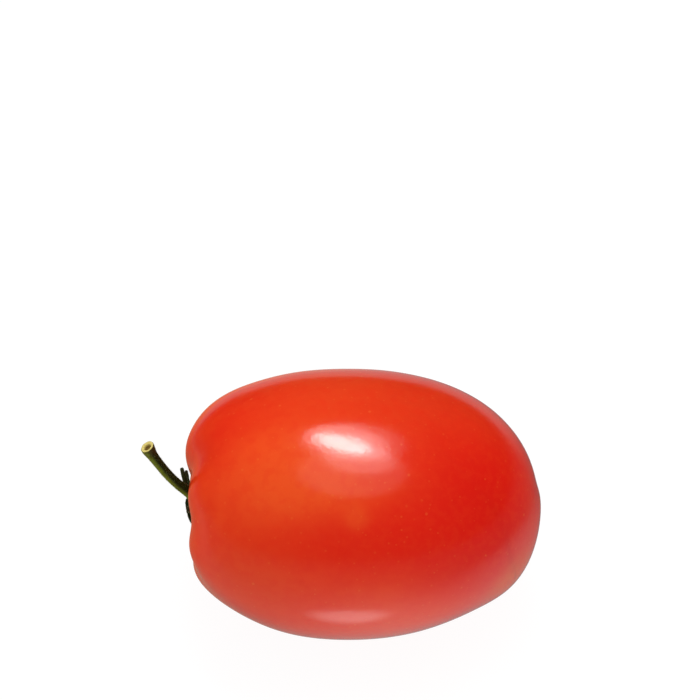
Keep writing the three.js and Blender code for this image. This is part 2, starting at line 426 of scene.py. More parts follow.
@dataclass
class Calyx:
    """The hub, its collar and the sepals, in millimetres and degrees."""

    floor: float
    hub: list[tuple[float, float]] = field(
        default_factory=lambda: [
            (0, -0.05),
            (1.4, 0),
            (2.2, 0.6),
            (2.5, 1.7),
            (2.2, 2.6),
            (1.2, 3.1),
            (0, 3.2),
        ]
    )
    half_width: float = 1.3
    root_half_width: float = 0.72
    edge_share: float = 0.5
    cup: float = 0.3
    widest_at: float = 0.3
    taper_power: float = 1.6
    rib_height: float = 0.08
    edge_wave: float = 0.05
    sepals: tuple[Sepal, ...] = (
        Sepal(50, (0.8, 2.2), (4.6, 3.7), (7.3, 4.2), -25, 0.36, 0.72),
        Sepal(91, (0.8, 2.2), (4.4, 3.2), (9.2, 3.5), 70, 0.38),
        Sepal(162, (-1.4, 3.15), (2.8, 2.95), (7.0, 2.6), -10, 0.24, 0.72),
        Sepal(240, (0.3, 2.7), (2.1, 3.25), (4.1, 1.6), 6, 0.24, 0.68),
        Sepal(312, (0.8, 2.2), (4.0, 2.6), (7.2, 2.85), -8, 0.22),
    )
    along: int = 72
    across: int = 18

    def leaf_half_width(self, share: np.ndarray, blunt: float) -> np.ndarray:
        """Half the width of a sepal with a blunt tip at shares of its length."""
        swell = np.sin(math.pi * share ** (math.log(0.5) / math.log(self.widest_at)))
        root = self.root_half_width / self.half_width
        belly = self.half_width * (root + (1 - root) * swell)
        taper = share**self.taper_power
        return belly + (blunt - belly) * taper

    def leaf_point(self, sepal: Sepal, share: np.ndarray, side: np.ndarray, face: np.ndarray) -> np.ndarray:
        """Places on a sepal's skin.

        Args:
            sepal: The sepal.
            share: How far along it each place is, from 0 to 1.
            side: How far across it, from -1 to 1.
            face: 1 on the outer face and -1 on the face towards the fruit.

        Returns:
            The places about the fruit's own axis.
        """
        half = self.leaf_half_width(share, sepal.blunt)
        tip_round = np.sqrt(np.clip(1 - ((share - 0.93) / 0.07).clip(0, 1) ** 2, 0.0, 1))
        ripple = 1 + self.edge_wave * np.sin(share * 31 + side * 2 + sepal.turn) * np.abs(side) ** 3
        aside = side * half * ripple * (0.25 + 0.75 * tip_round)
        belly = self.edge_share + (1 - self.edge_share) * np.sqrt(np.clip(1 - side**2, 0, 1))
        depth = sepal.thickness / 2 * belly * (0.5 + 0.5 * tip_round)
        midrib = self.rib_height * bell(side, 0.16) * (1 - 0.7 * share)
        veins = 0.35 * self.rib_height * (bell(side - 0.5, 0.12) + bell(side + 0.5, 0.12))
        lift = self.cup * side**2 * half / self.half_width
        lift = lift + face * depth + (face * midrib + veins) * (0.4 + 0.6 * tip_round)
        lean = math.radians(sepal.twist) * share
        over = aside * np.sin(lean) + lift * np.cos(lean)
        cross = aside * np.cos(lean) - lift * np.sin(lean)
        root, bow, tip = (np.array(end, float) for end in (sepal.root, sepal.bow, sepal.tip))
        t = share[..., None]
        foot = root * (1 - t) ** 2 + 2 * bow * t * (1 - t) + tip * t**2
        run = unit(2 * (bow - root) * (1 - t) + 2 * (tip - bow) * t)
        x = self.floor - foot[..., 1] - over * run[..., 0]
        out = foot[..., 0] - over * run[..., 1]
        turn = math.radians(sepal.turn)
        y = cross * math.cos(turn) + out * math.sin(turn)
        z = out * math.cos(turn) - cross * math.sin(turn)
        return np.stack([x, y, z], -1)

    def add_leaf(self, grown: Grown, sepal: Sepal) -> None:
        """Adds one sepal as a flattened shell that is closed at its root and at its tip."""
        around = 2 * self.across
        angle = 2 * math.pi * np.arange(around) / around
        share, angle = np.meshgrid(np.linspace(0, 1, self.along), angle, indexing="ij")
        side, face = np.cos(angle), np.sin(angle)
        points = self.leaf_point(sepal, share, side, face)
        grain = np.stack([side * 0.8, face * 0.2 + sepal.turn * 0.1, share * 0.008], -1)
        ends = [ring.mean(0, keepdims=True) for ring in (points[0], points[-1])]
        marks = [ring.mean(0, keepdims=True) for ring in (grain[0], grain[-1])]
        shell = np.concatenate([ends[0], points.reshape(-1, 3), ends[1]])
        notes = np.concatenate([marks[0], grain.reshape(-1, 3), marks[1]])
        dry = np.concatenate([[0], share.ravel(), [1]]) ** 2
        faces = [face[::-1] for face in tube_faces(self.along, around)]
        grown.add(shell, faces, notes, dry)

    def add_hub(self, grown: Grown) -> None:
        """Adds the hub, lobed a little where the sepals leave it."""
        around, rings = 90, 34
        outline = outline_through(self.hub, rings + 2)
        turn = np.linspace(0, 2 * math.pi, around, endpoint=False)
        radius = outline[1:-1, :1] * (1 + 0.05 * np.cos(5 * turn + 0.6)[None, :])
        height = np.broadcast_to(outline[1:-1, 1:], radius.shape)
        angle = np.broadcast_to(turn, radius.shape)
        plain = np.stack([height, radius * np.sin(angle), radius * np.cos(angle)], -1)
        radius = radius + 0.07 * unevenness(plain, 0.8, 5.2)
        points = np.stack([self.floor - height, radius * np.sin(angle), radius * np.cos(angle)], -1)
        grain = np.stack([np.sin(angle) * 2, np.cos(angle) * 2, height * MM], -1)
        ends = [np.array([[self.floor - outline[k, 1], 0, 0]]) for k in (0, -1)]
        marks = [np.array([[0, 0, outline[k, 1] * MM]]) for k in (0, -1)]
        shell = np.concatenate([ends[0], points.reshape(-1, 3), ends[1]])
        notes = np.concatenate([marks[0], grain.reshape(-1, 3), marks[1]])
        faces = [face[::-1] for face in tube_faces(rings, around)]
        grown.add(shell, faces, notes)

    def build(self, stem: "Stem") -> bpy.types.Object:
        """Grows the calyx.

        Args:
            stem: The stem, whose collar stands on the hub.

        Returns:
            The object.
        """
        grown = Grown()
        self.add_hub(grown)
        stem.add_collar(grown)
        for sepal in self.sepals:
            self.add_leaf(grown, sepal)
        return grown.become("tomato_calyx")

    def hair_roots(self, count: int, seed: int) -> tuple[np.ndarray, np.ndarray]:
        """Scattered places on the sepals and the way that each hair there stands.

        Args:
            count: How many places.
            seed: Where the scatter starts.

        Returns:
            The places and the unit directions, about the fruit's own axis.
        """
        draw = np.random.default_rng(seed)
        roots, ways = [], []
        for sepal in self.sepals:
            share = draw.uniform(0.12, 0.97, count // len(self.sepals))
            angle = draw.uniform(0, 2 * math.pi, len(share))
            side, face = np.cos(angle), np.sin(angle)
            root = self.leaf_point(sepal, share, side, face)
            heart = self.leaf_point(sepal, share, side * 0.7, face * 0)
            roots.append(root)
            ways.append(unit(root - heart + 0.05 * draw.normal(size=root.shape)))
        return np.concatenate(roots), np.concatenate(ways)

    def dress(self, obj: bpy.types.Object) -> None:
        """Gives the calyx its leaf finish and puts it in the place of its solid."""
        settle(obj, LeafFinish().material(), Slot.SEPAL, "calyx")


@dataclass
class Stem:
    """The short curved piece of stem with its collar and its broken end, in millimetres."""

    route: Route = field(
        default_factory=lambda: Route(
            [
                (-29.7, 1.5),
                (-30.15, 2.3),
                (-30.75, 3.27),
                (-32.95, 5.92),
                (-34.66, 8.4),
                (-36.8, 12.4),
                (-38.1, 15.2),
                (-38.6, 16.7),
            ]
        )
    )
    collar_length: float = 1.7
    collar_base: float = 0.8
    collar_top: float = 1.1
    gap: float = 0.45
    root_depth: float = 0.12
    radii: list[tuple[float, float]] = field(
        default_factory=lambda: [
            (1.12, 0),
            (1.0, 0.1),
            (0.94, 0.5),
            (0.99, 0.8),
            (1.25, 0.94),
            (1.32, 1),
        ]
    )
    pith_radius: float = 0.78
    pith_floor_radius: float = 0.62
    pith_depth: float = 0.5
    break_slope: float = 0.18
    break_power: int = 6
    flutes: int = 6
    flute_depth: float = 0.045
    around: int = 112
    along: int = 190

    @property
    def start(self) -> float:
        """Where the solid of the stem begins along the route."""
        return self.collar_length + self.gap

    @property
    def length(self) -> float:
        """How long the solid of the stem is along the route."""
        return self.route.length - self.start

    def bend(self, points: np.ndarray) -> np.ndarray:
        """Carries a straight shape onto the route.

        Args:
            points: Places as (outward, along from the route's start, aside).

        Returns:
            The places about the fruit's own axis.
        """
        place, forward = self.route.at(points[..., 1])
        x = place[..., 0] - forward[..., 1] * points[..., 0]
        z = place[..., 1] + forward[..., 0] * points[..., 0]
        return np.stack([x, points[..., 2], z], -1)

    def side_radius(self, travel: np.ndarray) -> np.ndarray:
        """The stem's plain radius at distances from the start of its solid."""
        outline = outline_through([(share, radius) for radius, share in self.radii], 400)
        return np.interp(travel / self.length, outline[:, 0], outline[:, 1])

    def flute(self, angle: np.ndarray, travel: np.ndarray) -> np.ndarray:
        """How the stem's radius is scaled by its shallow flutes, which twist a little."""
        swing = self.flutes * angle + 0.09 * travel
        knuckle = 1 - 0.5 * bell(travel - self.length, 1.5)
        return 1 + self.flute_depth * np.cos(swing) * knuckle

    def add_ringed(self, grown: Grown, rings: list[np.ndarray], cut: np.ndarray, base: float, top: float) -> None:
        """Adds a shell of rings, which are straight until here, bent along the route.

        Args:
            grown: What it is added to.
            rings: Each ring's points as (outward, along, aside).
            cut: For each ring, how far it belongs to the broken end.
            base: Where the first end point lies along the route.
            top: Where the last end point lies along the route.
        """
        straight = np.stack(rings)
        angle = np.arctan2(straight[..., 2], straight[..., 0])
        grain = np.stack([np.cos(angle), np.sin(angle), straight[..., 1] * MM], -1)
        ends = [np.array([[0.0, where, 0.0]]) for where in (base, top)]
        points = np.concatenate([ends[0], straight.reshape(-1, 3), ends[1]])
        notes = np.concatenate([ends[0] * [0, 0, 0], grain.reshape(-1, 3), ends[1] * [0, 0, 0]])
        marks = np.concatenate([[cut[0]], np.repeat(cut, straight.shape[1]), [cut[-1]]])
        grown.add(self.bend(points), tube_faces(len(rings), straight.shape[1]), notes, marks)

    def add_collar(self, grown: Grown) -> None:
        """Adds the collar that carries the stem on the hub."""
        angle = np.linspace(0, 2 * math.pi, 72, endpoint=False)
        rings = []
        for share in np.linspace(0, 1, 16):
            radius = self.collar_base + (self.collar_top - self.collar_base) * share
            round_off = 0.12 * max(0.0, (share - 0.85) / 0.15) ** 2
            radius = (radius - round_off) * self.flute(angle, share * self.collar_length - self.start)
            travel = np.full_like(angle, share * self.collar_length)
            rings.append(np.stack([radius * np.cos(angle), travel, radius * np.sin(angle)], -1))
        self.add_ringed(grown, rings, np.zeros(len(rings)), 0, self.collar_length)

    def build(self) -> bpy.types.Object:
        """Grows the stem from just inside its collar to its broken end.

        Returns:
            The object.
        """
        angle = np.linspace(0, 2 * math.pi, self.around, endpoint=False)
        first = -(self.gap + self.root_depth)
        rings, cut = [], []
        for travel in np.linspace(first, self.length, self.along):
            radius = self.side_radius(np.array(travel)) * self.flute(angle, travel)
            rings.append(self._ring(radius, travel + 0 * angle, angle))
            cut.append(0.0)
        ragged = np.stack([np.cos(angle), np.sin(angle), 0 * angle], -1)
        fibres = 0.09 * unevenness(ragged, 0.16, 2.2) + 0.05 * unevenness(ragged, 0.5, 6.1)
        rim = self.radii[-1][0]
        for share in np.linspace(0, 1, 9)[1:]:
            radius = rim + (self.pith_radius - rim) * share
            crest = 0.10 * math.sin(math.pi * share) - 0.05 * share
            along = self.length + crest + fibres * math.sin(math.pi * min(1.0, share * 1.4 + 0.1))
            rings.append(self._ring(radius + 0 * angle, along, angle))
            cut.append(min(1.0, 0.35 + share))
        for share in np.linspace(0, 1, 12)[1:]:
            radius = self.pith_radius * (1 - share) + 0.02 * share
            sink = self.pith_depth * min(1.0, share / (1 - self.pith_floor_radius / self.pith_radius))
            along = self.length - 0.05 - sink + 0.04 * np.cos(3 * angle + 1) * (1 - share)
            rings.append(self._ring(radius + 0 * angle, along + 0 * angle, angle))
            cut.append(1.0 + share)
        base = self.start + first
        grown = Grown()
        self.add_ringed(grown, rings, np.array(cut), base, self.start + self.length - self.pith_depth)
        return grown.become("tomato_stem")

    def _ring(self, radius: np.ndarray, along: np.ndarray, angle: np.ndarray) -> np.ndarray:
        """One ring, leaning over towards the broken end, from the start of the route."""
        outward = radius * np.cos(angle)
        share = np.clip(along / self.length, 0, None)
        lean = self.break_slope * outward * share**self.break_power
        return np.stack([outward, self.start + along - lean, radius * np.sin(angle)], -1)

    def hair_roots(self, count: int, seed: int) -> tuple[np.ndarray, np.ndarray]:
        """Scattered places on the stem's side and the way that each hair there stands.

        Args:
            count: How many places.
            seed: Where the scatter starts.

        Returns:
            The places and the unit directions, about the fruit's own axis.
        """
        draw = np.random.default_rng(seed)
        travel = draw.uniform(0.1, self.length - 0.3, count)
        angle = draw.uniform(0, 2 * math.pi, count)
        radius = self.side_radius(travel) * self.flute(angle, travel)
        skin, heart = (self._ring(r, travel, angle) for r in (radius - 0.03, radius * 0.2))
        roots = self.bend(skin)
        ways = unit(roots - self.bend(heart)) + 0.25 * draw.normal(size=roots.shape)
        return roots, unit(ways)

    def dress(self, obj: bpy.types.Object) -> None:
        """Gives the stem its stalk finish and puts it in the place of its solid."""
        settle(obj, StalkFinish().material(), Slot.STALK, "stem")


@dataclass
class Hairs:
    """Short tapered hairs, each a slim three-sided spike, in millimetres."""

    name: str
    slot: Slot
    shortest: float = 0.12
    longest: float = 0.34
    thickness: float = 0.028
    seed: int = 11

    def build(self, roots: np.ndarray, ways: np.ndarray) -> bpy.types.Object:
        """Grows one hair at each root.

        Args:
            roots: Where the hairs stand, about the fruit's own axis.
            ways: The unit direction of each.

        Returns:
            The object with all the hairs.
        """
        draw = np.random.default_rng(self.seed)
        lengths = draw.uniform(self.shortest, self.longest, len(roots))[:, None]
        aside = unit(np.cross(ways, draw.normal(size=ways.shape)))
        across = np.cross(ways, aside)
        corners = []
        for third in range(3):
            angle = 2 * math.pi * third / 3
            corners.append(roots + self.thickness / 2 * (aside * math.cos(angle) + across * math.sin(angle)))
        tips = roots + ways * lengths
        points = np.stack([*corners, tips], 1).reshape(-1, 3)
        faces: list[tuple[int, ...]] = []
        for first in range(0, len(points), 4):
            a, b, c, tip = range(first, first + 4)
            faces.extend([(a, b, tip), (b, c, tip), (c, a, tip), (a, c, b)])
        grown = Grown()
        grown.add(points, faces, np.zeros_like(points))
        return grown.become(self.name)

    def dress(self, obj: bpy.types.Object) -> None:
        """Gives the hairs their pale finish."""
        settle(obj, HairFinish().material(), self.slot)


def settle(obj: bpy.types.Object, material: bpy.types.Material, slot: Slot, *nodes: str) -> None:
    """Finishes a piece and ties it to the part.

    Args:
        obj: The piece.
        material: Its finish.
        slot: The record's slot that the finish belongs to; not used.
        nodes: The solids that it stands for.
    """
    obj.data.materials.append(material)
    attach(obj, BODY)
    if nodes:
        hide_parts(*nodes)


# The finishes.

Colour = tuple[float, float, float]
Wire = bpy.types.NodeSocket | float | Colour


class Bench:
    """Places and joins the nodes of one material or group."""

    def __init__(self, tree: bpy.types.NodeTree) -> None:
        """Works on one node tree."""
        self.tree = tree

    def node(self, kind: str, **settings: object) -> bpy.types.Node:
        """A new node with its settings."""
        made = self.tree.nodes.new(kind)
        for name, value in settings.items():
            setattr(made, name, value)
        return made

    def feed(self, socket: bpy.types.NodeSocket, wire: Wire) -> None:
        """Sets a socket to a value, or links it to another."""
        if isinstance(wire, bpy.types.NodeSocket):
            self.tree.links.new(wire, socket)
        elif isinstance(wire, tuple) and socket.type == "RGBA":
            socket.default_value = (*wire, 1.0)
        else:
            socket.default_value = wire

    def math(self, operation: str, first: Wire, second: Wire = 0.0) -> bpy.types.NodeSocket:
        """A sum, product or other plain working of two numbers."""
        made = self.node("ShaderNodeMath", operation=operation)
        self.feed(made.inputs[0], first)
        self.feed(made.inputs[1], second)
        return made.outputs[0]

    def turn(self, operation: str, first: Wire, second: Wire) -> bpy.types.NodeSocket:
        """A working of two vectors that gives a vector, or a length."""
        made = self.node("ShaderNodeVectorMath", operation=operation)
        self.feed(made.inputs[0], first)
        self.feed(made.inputs[1], second)
        return made.outputs["Value" if operation in ("LENGTH", "DISTANCE") else "Vector"]

    def range(self, value: Wire, low: Wire, high: Wire, start: float = 0.0, end: float = 1.0) -> bpy.types.NodeSocket:
        """A smooth step from start to end as the value goes from low to high."""
        made = self.node("ShaderNodeMapRange", interpolation_type="SMOOTHSTEP")
        self.feed(made.inputs["Value"], value)
        self.feed(made.inputs["From Min"], low)
        self.feed(made.inputs["From Max"], high)
        self.feed(made.inputs["To Min"], start)
        self.feed(made.inputs["To Max"], end)
        return made.outputs["Result"]

    def noise(self, place: Wire, scale: Wire, detail: Wire = 2.0, rough: float = 0.5) -> bpy.types.NodeSocket:
        """Soft cloudy noise from 0 to 1."""
        made = self.node("ShaderNodeTexNoise")
        self.feed(made.inputs["Vector"], place)
        self.feed(made.inputs["Scale"], scale)
        self.feed(made.inputs["Detail"], detail)
        self.feed(made.inputs["Roughness"], rough)
        return made.outputs["Fac"]

    def tint(self, amount: Wire, under: Wire, over: Wire) -> bpy.types.NodeSocket:
        """One colour laid over another by an amount."""
        made = self.node("ShaderNodeMix", data_type="RGBA")
        self.feed(made.inputs[0], amount)
        self.feed(made.inputs[6], under)
        self.feed(made.inputs[7], over)
        return made.outputs[2]

    def place(self) -> bpy.types.NodeSocket:
        """Where a point lies in the part's frame, in millimetres."""
        where = self.node("ShaderNodeTexCoord").outputs["Object"]
        return self.turn("MULTIPLY", where, (1000.0, 1000.0, 1000.0))

    def note(self, name: str, output: str) -> bpy.types.NodeSocket:
        """A note that the shape carries on its points."""
        return self.node("ShaderNodeAttribute", attribute_name=name).outputs[output]

    def bump(self, height: Wire, strength: float, depth: float) -> bpy.types.NodeSocket:
        """A normal that is roughened by a height, of a depth in metres."""
        made = self.node("ShaderNodeBump")
        made.inputs["Strength"].default_value = strength
        made.inputs["Distance"].default_value = depth
        self.feed(made.inputs["Height"], height)
        return made.outputs["Normal"]


class Effect:
    """A shader node group that more than one finish uses, made once."""

    name = ""
    inputs: tuple[tuple[str, str, object], ...] = ()
    outputs: tuple[str, ...] = ("Mask",)

    def tree(self) -> bpy.types.NodeTree:
        """The group's node tree, made the first time that it is asked for."""
        found = bpy.data.node_groups.get(self.name)
        if found:
            return found
        made = bpy.data.node_groups.new(self.name, "ShaderNodeTree")
        for name, kind, value in self.inputs:
            socket = made.interface.new_socket(name, in_out="INPUT", socket_type=kind)
            socket.default_value = value
        for name in self.outputs:
            made.interface.new_socket(name, in_out="OUTPUT", socket_type="NodeSocketFloat")
        bench = Bench(made)
        given = bench.node("NodeGroupInput").outputs
        result = bench.node("NodeGroupOutput").inputs
        self.wire(bench, given, result)
        return made

    def wire(self, bench: Bench, given: object, result: object) -> None:
        """Joins the group's inside, from what is given to what it puts out."""
        raise NotImplementedError

    def on(self, bench: Bench, **values: Wire) -> dict[str, bpy.types.NodeSocket]:
        """Places the group in a material.

        Args:
            bench: The material's bench.
            values: A value or a link for each named input.

        Returns:
            The group's outputs by name.
        """
        made = bench.node("ShaderNodeGroup", node_tree=self.tree())
        for name, value in values.items():
            bench.feed(made.inputs[name], value)
        return {socket.name: socket for socket in made.outputs}


class Patch(Effect):
    """A soft-edged patch round a place."""

    name = "soft patch"
    inputs = (
        ("Place", "NodeSocketVector", (0, 0, 0)),
        ("Centre", "NodeSocketVector", (0, 0, 0)),
        ("Stretch", "NodeSocketVector", (1, 1, 1)),
        ("Inner", "NodeSocketFloat", 0.0),
        ("Outer", "NodeSocketFloat", 5.0),
    )

    def wire(self, bench: Bench, given: object, result: object) -> None:
        """Fades from 1 inside the inner reach to 0 at the outer one."""
        apart = bench.turn("SUBTRACT", given["Place"], given["Centre"])
        apart = bench.turn("MULTIPLY", apart, given["Stretch"])
        reach = bench.turn("LENGTH", apart, (0.0, 0.0, 0.0))
        bench.feed(result["Mask"], bench.range(reach, given["Inner"], given["Outer"], 1.0, 0.0))


class Mottle(Effect):
    """Cloudy patches without a place of their own."""

    name = "mottle"
    inputs = (
        ("Place", "NodeSocketVector", (0, 0, 0)),
        ("Scale", "NodeSocketFloat", 0.2),
        ("Detail", "NodeSocketFloat", 2.0),
        ("Low", "NodeSocketFloat", 0.4),
        ("High", "NodeSocketFloat", 0.6),
    )

    def wire(self, bench: Bench, given: object, result: object) -> None:
        """Turns noise into patches between two levels."""
        cloud = bench.noise(given["Place"], given["Scale"], given["Detail"])
        bench.feed(result["Mask"], bench.range(cloud, given["Low"], given["High"]))


class Specks(Effect):
    """Small scattered dots of uneven size."""

    name = "specks"
    inputs = (
        ("Place", "NodeSocketVector", (0, 0, 0)),
        ("Spacing", "NodeSocketFloat", 1.2),
        ("Size", "NodeSocketFloat", 0.15),
    )

    def wire(self, bench: Bench, given: object, result: object) -> None:
        """Puts a soft dot at the heart of each cell, large in some and hardly there in others."""
        scale = bench.math("DIVIDE", 1.0, given["Spacing"])
        cells = bench.node("ShaderNodeTexVoronoi", feature="F1")
        bench.feed(cells.inputs["Vector"], given["Place"])
        bench.feed(cells.inputs["Scale"], scale)
        luck = bench.node("ShaderNodeSeparateColor")
        bench.feed(luck.inputs["Color"], cells.outputs["Color"])
        share = bench.math("DIVIDE", given["Size"], given["Spacing"])
        reach = bench.math("MULTIPLY", share, bench.math("ADD", luck.outputs[0], 0.35))
        inner = bench.math("MULTIPLY", reach, 0.35)
        bench.feed(result["Mask"], bench.range(cells.outputs["Distance"], inner, reach, 1.0, 0.0))


class Grain(Effect):
    """Fine lines that run along a piece's own grain."""

    name = "grain"
    inputs = (
        ("Grain", "NodeSocketVector", (0, 0, 0)),
        ("Lines", "NodeSocketFloat", 8.0),
        ("Along", "NodeSocketFloat", 200.0),
        ("Low", "NodeSocketFloat", 0.35),
        ("High", "NodeSocketFloat", 0.65),
    )
    outputs = ("Mask", "Height")

    def wire(self, bench: Bench, given: object, result: object) -> None:
        """Stretches noise along the grain."""
        stretch = bench.node("ShaderNodeCombineXYZ")
        bench.feed(stretch.inputs["X"], given["Lines"])
        bench.feed(stretch.inputs["Y"], given["Lines"])
        bench.feed(stretch.inputs["Z"], given["Along"])
        place = bench.turn("MULTIPLY", given["Grain"], stretch.outputs[0])
        cloud = bench.noise(place, 1.0, 3.0, 0.6)
        bench.feed(result["Mask"], bench.range(cloud, given["Low"], given["High"]))
        bench.feed(result["Height"], cloud)


def blank(name: str) -> tuple[bpy.types.Material, Bench, bpy.types.Node]:
    """A new material with one shader joined to its output.

    Args:
        name: The material's name.

    Returns:
        The material, its bench and its shader.
    """
    material = bpy.data.materials.new(name)
    material.use_nodes = True
    bench = Bench(material.node_tree)
    material.node_tree.nodes.clear()
    shader = bench.node("ShaderNodeBsdfPrincipled")
    output = bench.node("ShaderNodeOutputMaterial")
    bench.feed(output.inputs["Surface"], shader.outputs["BSDF"])
    return material, bench, shader


@dataclass(frozen=True)
class ColourPatch:
    """A place on the fruit where the skin is given another colour, in millimetres; a few are painted light or shade.
    """

    centre: tuple[float, float, float]
    inner: float
    outer: float
    amount: float
    colour: Colour
    stretch: tuple[float, float, float] = (1.0, 1.0, 1.0)


@dataclass(frozen=True)
class SkinFinish:
    """The waxy red skin of the ripe fruit."""

    ripe: Colour = (0.76, 0.021, 0.0035)
    bright: Colour = (0.80, 0.050, 0.007)
    deep: Colour = (0.72, 0.012, 0.002)
    speck: Colour = (0.90, 0.36, 0.08)
    cork: Colour = (0.36, 0.22, 0.07)
    halo: Colour = (0.62, 0.26, 0.03)
    cavity: tuple[float, float, float] = (-28.4, 0.24, 26.0)
    blossom: tuple[float, float, float] = (35.0, 0.24, 24.7)
    colour_and_light_patches: tuple[ColourPatch, ...] = (
        ColourPatch((-10.5, -13.0, 46.0), 3, 21, 0.80, (0.82, 0.088, 0.011), (0.85, 1.0, 1.0)),
        ColourPatch((-20.0, -22.0, 28.0), 3, 16, 0.65, (0.76, 0.058, 0.009)),
        ColourPatch((2.0, -24.0, 22.0), 3, 16, 0.55, (0.76, 0.050, 0.008), (0.6, 1.0, 1.0)),
        ColourPatch((18.0, 8.0, 48.0), 4, 32, 0.80, (0.64, 0.028, 0.005)),
        ColourPatch((-6.0, 12.0, 49.0), 4, 24, 0.50, (0.70, 0.060, 0.010)),
        ColourPatch((24.0, -13.5, 38.0), 5, 25, 0.92, (0.68, 0.0055, 0.0010)),
        # Painted shade: a long, deeper red band along the front of the fruit.
        ColourPatch((2.0, -21.9, 38.9), 2, 12, 0.80, (0.72, 0.009, 0.0015), (0.34, 1.0, 1.2)),
        ColourPatch((-0.3, -18.9, 43.0), 0.2, 3.6, 0.26, (0.88, 0.15, 0.02)),
        # Partly skin colour and partly painted bounce light, low on the left edge by the stem.
        ColourPatch((-31.5, 1.0, 17.0), 3, 13, 0.70, (0.56, 0.105, 0.014)),
        # Partly skin colour and partly painted bounce light, at the lower right corner.
        ColourPatch((30.0, -14.0, 18.0), 2, 10, 0.50, (0.74, 0.13, 0.02)),
    )

    def material(self) -> bpy.types.Material:
        """Builds the finish."""
        material, bench, shader = blank("ripe skin")
        place = bench.place()
        grain = bench.note(GRAIN, "Vector")
        broad = Mottle().on(bench, Place=place, Scale=0.055, Detail=3.0, Low=0.38, High=0.66)["Mask"]
        close = Mottle().on(bench, Place=place, Scale=0.21, Detail=3.0, Low=0.42, High=0.70)["Mask"]
        rays = Grain().on(bench, Grain=grain, Lines=5.0, Along=26.0, Low=0.38, High=0.68)["Mask"]
        colour = bench.tint(bench.math("MULTIPLY", broad, 0.6), self.ripe, self.bright)
        colour = bench.tint(bench.math("MULTIPLY", close, 0.45), colour, self.deep)
        colour = bench.tint(bench.math("MULTIPLY", rays, 0.26), colour, self.bright)
        for patch in self.colour_and_light_patches:
            mask = Patch().on(
                bench,
                Place=place,
                Centre=patch.centre,
                Stretch=patch.stretch,
                Inner=patch.inner,
                Outer=patch.outer,
            )["Mask"]
            colour = bench.tint(bench.math("MULTIPLY", mask, patch.amount), colour, patch.colour)
        cloud = Mottle().on(bench, Place=place, Scale=0.8, Detail=4.0, Low=0.42, High=0.66)["Mask"]
        colour = bench.tint(bench.math("MULTIPLY", cloud, 0.13), colour, self.bright)
        shadow = Mottle().on(bench, Place=place, Scale=0.5, Detail=5.0, Low=0.44, High=0.64)["Mask"]
        colour = bench.tint(bench.math("MULTIPLY", shadow, 0.16), colour, self.deep)
        colour, ring = self._ends(bench, place, grain, colour)
        fine = Specks().on(bench, Place=place, Spacing=1.5, Size=0.26)["Mask"]
        sparse = Specks().on(bench, Place=place, Spacing=3.2, Size=0.32)["Mask"]
        colour = bench.tint(bench.math("MULTIPLY", fine, 0.07), colour, self.speck)
        colour = bench.tint(bench.math("MULTIPLY", sparse, 0.12), colour, self.speck)
        bench.feed(shader.inputs["Base Color"], colour)
        smear = Mottle().on(bench, Place=place, Scale=0.6, Detail=4.0, Low=0.3, High=0.75)["Mask"]
        rough = bench.math("ADD", bench.math("MULTIPLY", smear, 0.08), 0.27)
        rough = bench.math("ADD", rough, bench.math("MULTIPLY", ring, 0.35))
        bench.feed(shader.inputs["Roughness"], rough)
        shader.inputs["Specular IOR Level"].default_value = 0.0
        shader.inputs["Subsurface Weight"].default_value = 0.18
        shader.inputs["Subsurface Radius"].default_value = (1.0, 0.22, 0.10)
        shader.inputs["Subsurface Scale"].default_value = 0.003
        shader.inputs["Coat Roughness"].default_value = 0.135
        shader.inputs["Coat IOR"].default_value = 1.7
        wax = bench.math("SUBTRACT", 1.0, bench.math("MULTIPLY", ring, 0.9))
        bench.feed(shader.inputs["Coat Weight"], wax)
        normal = bench.bump(bench.noise(place, 0.9, 4.0, 0.6), 0.24, 0.0001)
        bench.feed(shader.inputs["Normal"], normal)
        bench.feed(shader.inputs["Coat Normal"], normal)
        return material

    def _ends(
        self, bench: Bench, place: Wire, grain: Wire, colour: Wire
    ) -> tuple[bpy.types.NodeSocket, bpy.types.NodeSocket]:
        """Colours the skin round the stem and at the blossom scar.

        Args:
            bench: The material's bench.
            place: Where a point lies, in millimetres.
            grain: The fruit's own grain.
            colour: The colour so far.

        Returns:
            The colour with both ends, and a mask of the dull corky skin.
        """
        rays = Grain().on(bench, Grain=grain, Lines=9.0, Along=120.0, Low=0.36, High=0.62)["Mask"]
        halo = Patch().on(bench, Place=place, Centre=self.cavity, Inner=3.0, Outer=10.5)["Mask"]
        spread = bench.math("MULTIPLY", halo, bench.math("ADD", bench.math("MULTIPLY", rays, 0.35), 0.5))
        colour = bench.tint(spread, colour, self.halo)
        ring = Patch().on(bench, Place=place, Centre=self.cavity, Inner=2.6, Outer=4.6)["Mask"]
        ring = bench.math("MULTIPLY", ring, bench.math("ADD", bench.math("MULTIPLY", rays, 0.5), 0.45))
        scar = Patch().on(bench, Place=place, Centre=self.blossom, Inner=0.4, Outer=1.7)["Mask"]
        around = Patch().on(bench, Place=place, Centre=self.blossom, Inner=1.2, Outer=6.0)["Mask"]
        streak = bench.math("ADD", bench.math("MULTIPLY", rays, 0.16), 0.10)
        streak = bench.math("MULTIPLY", around, streak)
        colour = bench.tint(streak, colour, self.halo)
        cork = bench.math("MAXIMUM", ring, bench.math("MULTIPLY", scar, 0.6))
        return bench.tint(cork, colour, self.cork), cork


